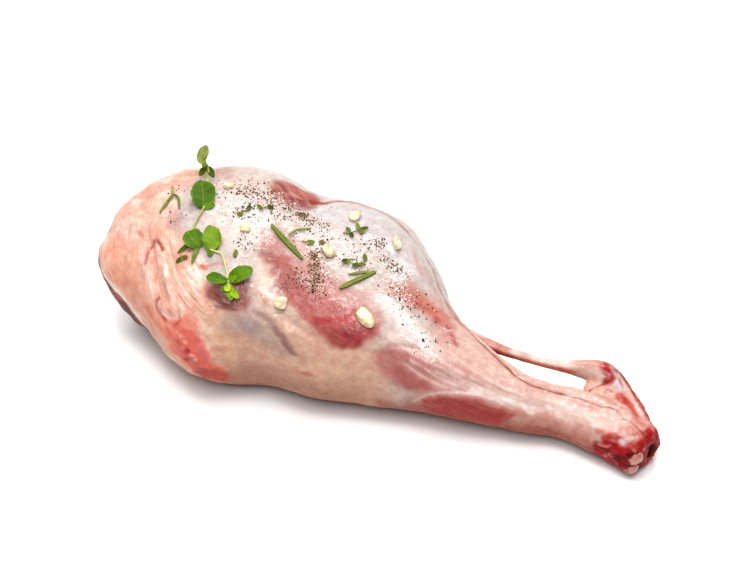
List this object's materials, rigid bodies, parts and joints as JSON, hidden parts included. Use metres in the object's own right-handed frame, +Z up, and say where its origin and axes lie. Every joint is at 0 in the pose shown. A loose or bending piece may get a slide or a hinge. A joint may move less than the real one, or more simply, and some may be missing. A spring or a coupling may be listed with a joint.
{
  "type": "raw lamb leg",
  "caption": "Raw bone-in leg of lamb with its hock and heel tendon left on, lying on its side, scattered with oregano, rosemary, thyme, garlic, pepper and salt.",
  "frame": {"origin": "middle of the leg's footprint on the table it lies on", "axes": "+X along the leg from the thick butt to the hock, +Y towards the side with the heel tendon, +Z up"},
  "size_m": [0.4342, 0.1904, 0.1286],
  "materials": {
    "meat": "moist raw meat under silverskin and fat",
    "bone": "moist sawn bone",
    "oregano": "fresh leaf, slightly waxy",
    "rosemary": "fresh needle, pale underside",
    "thyme": "fresh leaf",
    "garlic": "moist cut clove"
  },
  "bodies": {
    "root": {"leg_meat": "meat", "shank_bone": "bone", "oregano_sprig_upper": "oregano", "oregano_sprig_lower": "oregano", "rosemary_fork": "rosemary", "rosemary_needle_long": "rosemary", "rosemary_needle_thin": "rosemary", "rosemary_pair": "rosemary", "thyme_curl": "thyme", "thyme_stem": "thyme", "thyme_leaf_centre": "thyme", "thyme_leaf_far": "thyme", "thyme_sprig_far": "thyme", "thyme_sprig_near": "thyme", "oregano_scrap": "oregano", "thyme_leaf_dark": "thyme", "garlic_piece_1": "garlic", "garlic_piece_2": "garlic", "garlic_piece_3": "garlic", "garlic_piece_4": "garlic", "garlic_piece_5": "garlic", "garlic_piece_6": "garlic", "garlic_piece_7": "garlic"}
  },
  "joints": []
}
